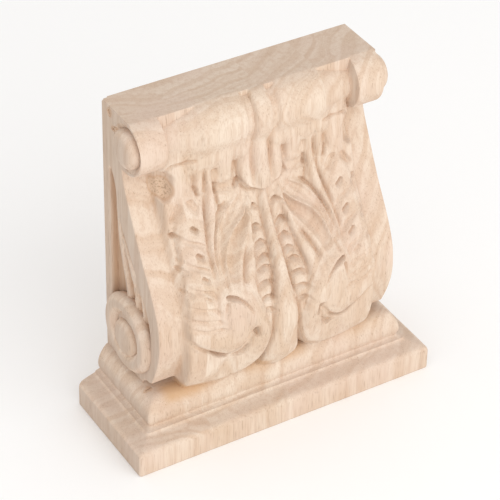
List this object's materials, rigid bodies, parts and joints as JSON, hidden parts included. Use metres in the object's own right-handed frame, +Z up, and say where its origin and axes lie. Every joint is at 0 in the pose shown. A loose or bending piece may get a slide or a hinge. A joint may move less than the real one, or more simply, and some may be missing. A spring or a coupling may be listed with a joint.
{
  "type": "carved shelf bracket",
  "caption": "Carved wooden corbel with an acanthus leaf, scrolled sides, a roll under its flat top and a moulded foot; carries a shelf or mantel.",
  "frame": {"origin": "middle of the underside of the moulded foot", "axes": "+Z up, +Y towards the flat back, the carved front faces -Y, +X across the front"},
  "size_m": [0.191, 0.0732, 0.2],
  "materials": {
    "wood": "raw, sanded, unvarnished"
  },
  "bodies": {
    "root": {"carved_bracket": "wood"}
  },
  "joints": []
}
